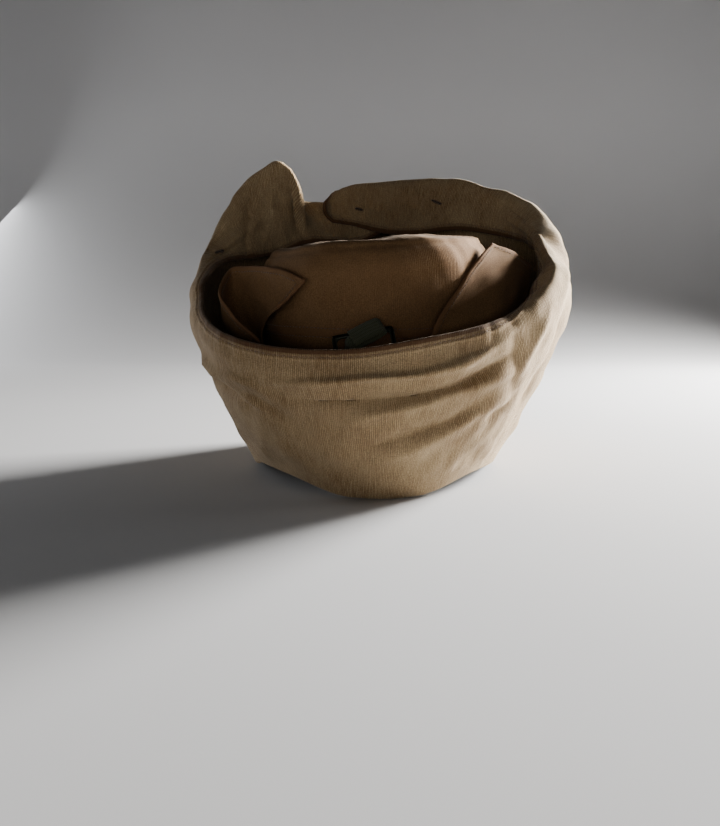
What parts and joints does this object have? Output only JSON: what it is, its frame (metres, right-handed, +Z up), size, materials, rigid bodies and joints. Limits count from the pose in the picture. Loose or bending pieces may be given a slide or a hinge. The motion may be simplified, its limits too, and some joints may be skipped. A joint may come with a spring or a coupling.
{
  "type": "combat cap",
  "caption": "Khaki cotton field cap seen with its deep neck curtain turned up all round and lapped at the front; ear flaps and green adjuster strap inside.",
  "frame": {"origin": "middle of the box round the cap, at the foot it rests on", "axes": "+X to the right as seen from behind, +Y to the front of the cap, +Z up"},
  "size_m": [0.2836, 0.265, 0.2318],
  "materials": {
    "cotton_khaki": "washed khaki cotton with a fine twill",
    "cotton_tan": "plain tan cotton",
    "webbing_green": "close dark green webbing",
    "enamel_green": "dark green enamel, slightly worn"
  },
  "bodies": {
    "root": {"curtain": "cotton_khaki", "headband": "cotton_tan", "crown": "cotton_tan", "ear_flap_left": "cotton_tan", "ear_flap_right": "cotton_tan", "adjuster_strap": "webbing_green", "strap_loop": "webbing_green", "slide_buckle": "enamel_green"}
  },
  "joints": []
}
